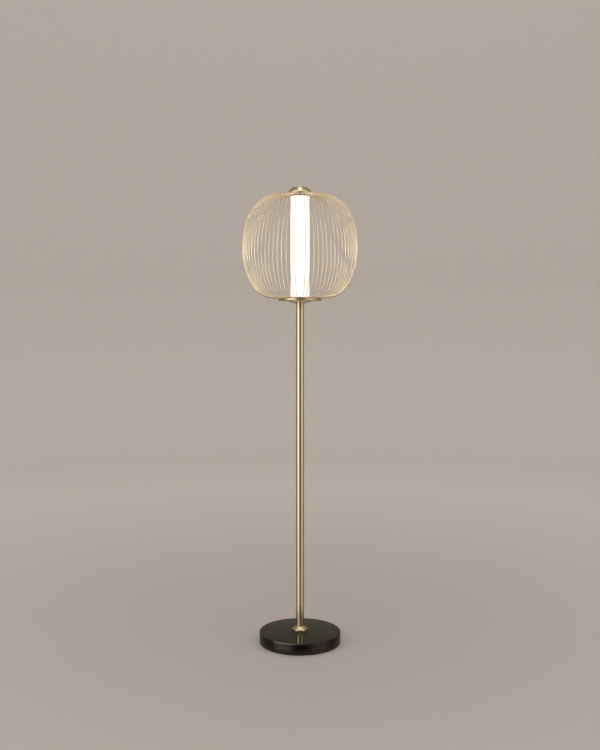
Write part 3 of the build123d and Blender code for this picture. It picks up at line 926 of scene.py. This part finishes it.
glowSet = {
    "strips": 6,
    "gap": 0.0012,
    "width": 0.031,
    "short": (0.085, 0.12),  # how far the strips stop from the tube's lower and upper end
    "glow": 9.0,
    "colour": (1.0, 0.95, 0.87),
}


def makeTubeGlow(s):
    low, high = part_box("diffuser_tube")
    tall = high.z - low.z - sum(s["short"])
    middle = low.z + s["short"][0] + tall / 2
    radius = high.x + s["gap"]
    for index in range(s["strips"]):
        turn = 2 * pi * (index + 0.5) / s["strips"]
        place = (radius * cos(turn), radius * sin(turn), middle)
        target = (2 * place[0], 2 * place[1], middle)
        size = (s["width"], tall)
        lamp = addPanel(f"tubeGlow{index}", place, target, size, s["glow"], seen=True)
        lamp.data.color = s["colour"]


makeLights(panelSet)
makeTubeGlow(glowSet)


# The room round the lamp: even for matt surfaces. Shiny ones see two soft windows in it,
# the brighter one on the left, and a dark side between them, where the camera stands

worldSet = {
    "soft": (0.6, 0.59, 0.575),
    "room": (0.24, 0.22, 0.17),
    "sides": [               # middle in degrees right of the camera, half width, blur, colour
        (0, 25, 15, (0.02, 0.02, 0.02)),
        (-50, 25, 15, (1.65, 1.65, 1.65)),
        (60, 25, 15, (0.85, 0.85, 0.85)),
    ],
    # the first two numbers of each are sines of the height, but front's, which are depths
    "below": (-0.3, 0.0, 0.7),                   # the share of the room's light seen down there
    "above": (0.3, 0.6, (0.8, 0.77, 0.7)),       # the front's upper part
    "front": (0.3, -0.5),
    "ground": (-0.4, -0.62, (0.42, 0.37, 0.31)),
}


def makeWorld(s):
    world = bpy.data.worlds.new("studioWorld")
    world.use_nodes = True
    tree = world.node_tree
    place = tree.nodes.new("ShaderNodeTexCoord")
    turned = tree.nodes.new("ShaderNodeMapping")
    turned.inputs["Rotation"].default_value = (0, 0, pi / 2)
    around = tree.nodes.new("ShaderNodeTexGradient")
    around.gradient_type = "RADIAL"
    tree.links.new(place.outputs["Generated"], turned.inputs["Vector"])
    tree.links.new(turned.outputs["Vector"], around.inputs["Vector"])
    turn = calculated(tree, "MULTIPLY_ADD", around.outputs["Fac"], 360.0, -180.0)
    shiny = s["room"]
    for middle, half, blur, colour in s["sides"]:
        off = calculated(tree, "ABSOLUTE", calculated(tree, "SUBTRACT", turn, middle))
        shiny = blended(tree, between(tree, off, half + blur, half - blur), shiny, colour)
    split = tree.nodes.new("ShaderNodeSeparateXYZ")
    tree.links.new(place.outputs["Generated"], split.inputs[0])
    height = split.outputs["Z"]
    scaled = tree.nodes.new("ShaderNodeVectorMath")
    scaled.operation = "SCALE"
    tree.links.new(shiny, scaled.inputs[0])
    lowest, highest, share = s["below"]
    tree.links.new(between(tree, height, lowest, highest, share), scaled.inputs["Scale"])
    upper = calculated(
        tree, "MULTIPLY", between(tree, height, *s["above"][:2]),
        between(tree, split.outputs["Y"], *s["front"]),
    )
    shiny = blended(tree, upper, scaled.outputs[0], s["above"][2])
    shiny = blended(tree, between(tree, height, *s["ground"][:2]), shiny, s["ground"][2])
    rays = tree.nodes.new("ShaderNodeLightPath")
    plain = tree.nodes.new("ShaderNodeRGB")
    plain.outputs[0].default_value = (*s["soft"], 1)
    seen = blended(tree, rays.outputs["Is Glossy Ray"], plain.outputs[0], shiny)
    tree.links.new(seen, tree.nodes["Background"].inputs["Color"])
    bpy.context.scene.world = world


makeWorld(worldSet)
print("stage and lights set")
